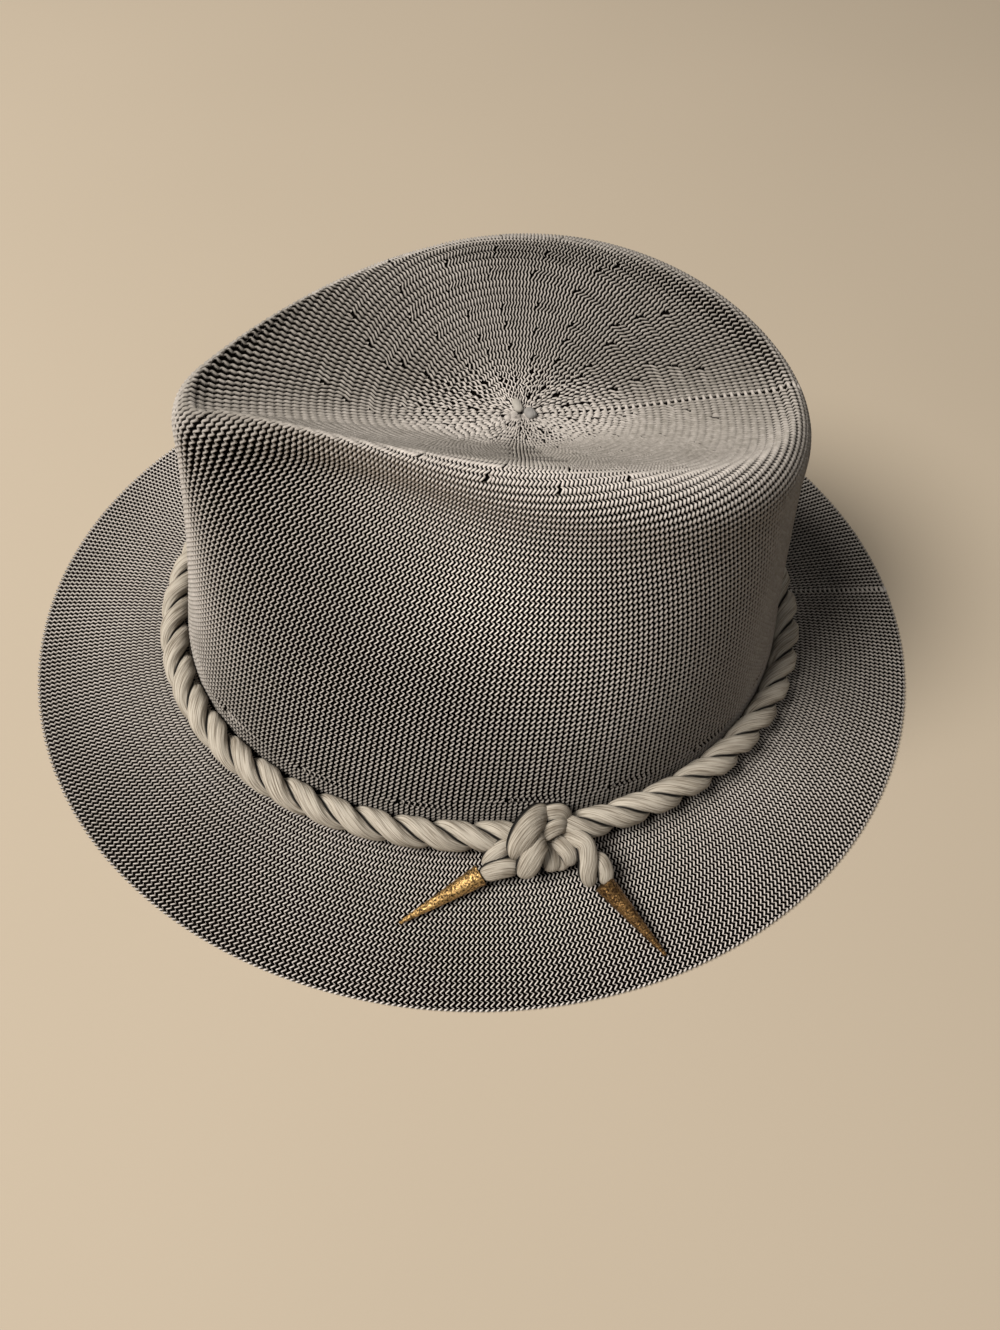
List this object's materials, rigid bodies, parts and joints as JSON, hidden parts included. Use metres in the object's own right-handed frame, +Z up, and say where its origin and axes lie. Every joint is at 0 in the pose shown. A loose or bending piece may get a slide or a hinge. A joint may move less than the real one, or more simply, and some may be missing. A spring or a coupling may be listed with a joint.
{
  "type": "knitted fedora",
  "caption": "Knitted fedora with a teardrop crown, pinched front and near-flat brim, with a twisted rope band knotted on the left side that ends in brass tips.",
  "frame": {"origin": "middle of the brim's oval, on the surface that the hat rests on", "axes": "+X to the back of the hat, +Y to the wearer's right, +Z up through the crown"},
  "size_m": [0.3166, 0.2786, 0.1265],
  "materials": {
    "grey_knit": "zigzag machine knit, matt",
    "pale_rope": "twisted two-strand rope, soft sheen",
    "old_brass": "hammered, dulled"
  },
  "bodies": {
    "root": {"knit_shell": "grey_knit", "rope_band": "pale_rope", "brass_tip_front": "old_brass", "brass_tip_back": "old_brass", "crown_tie": "grey_knit"}
  },
  "joints": []
}
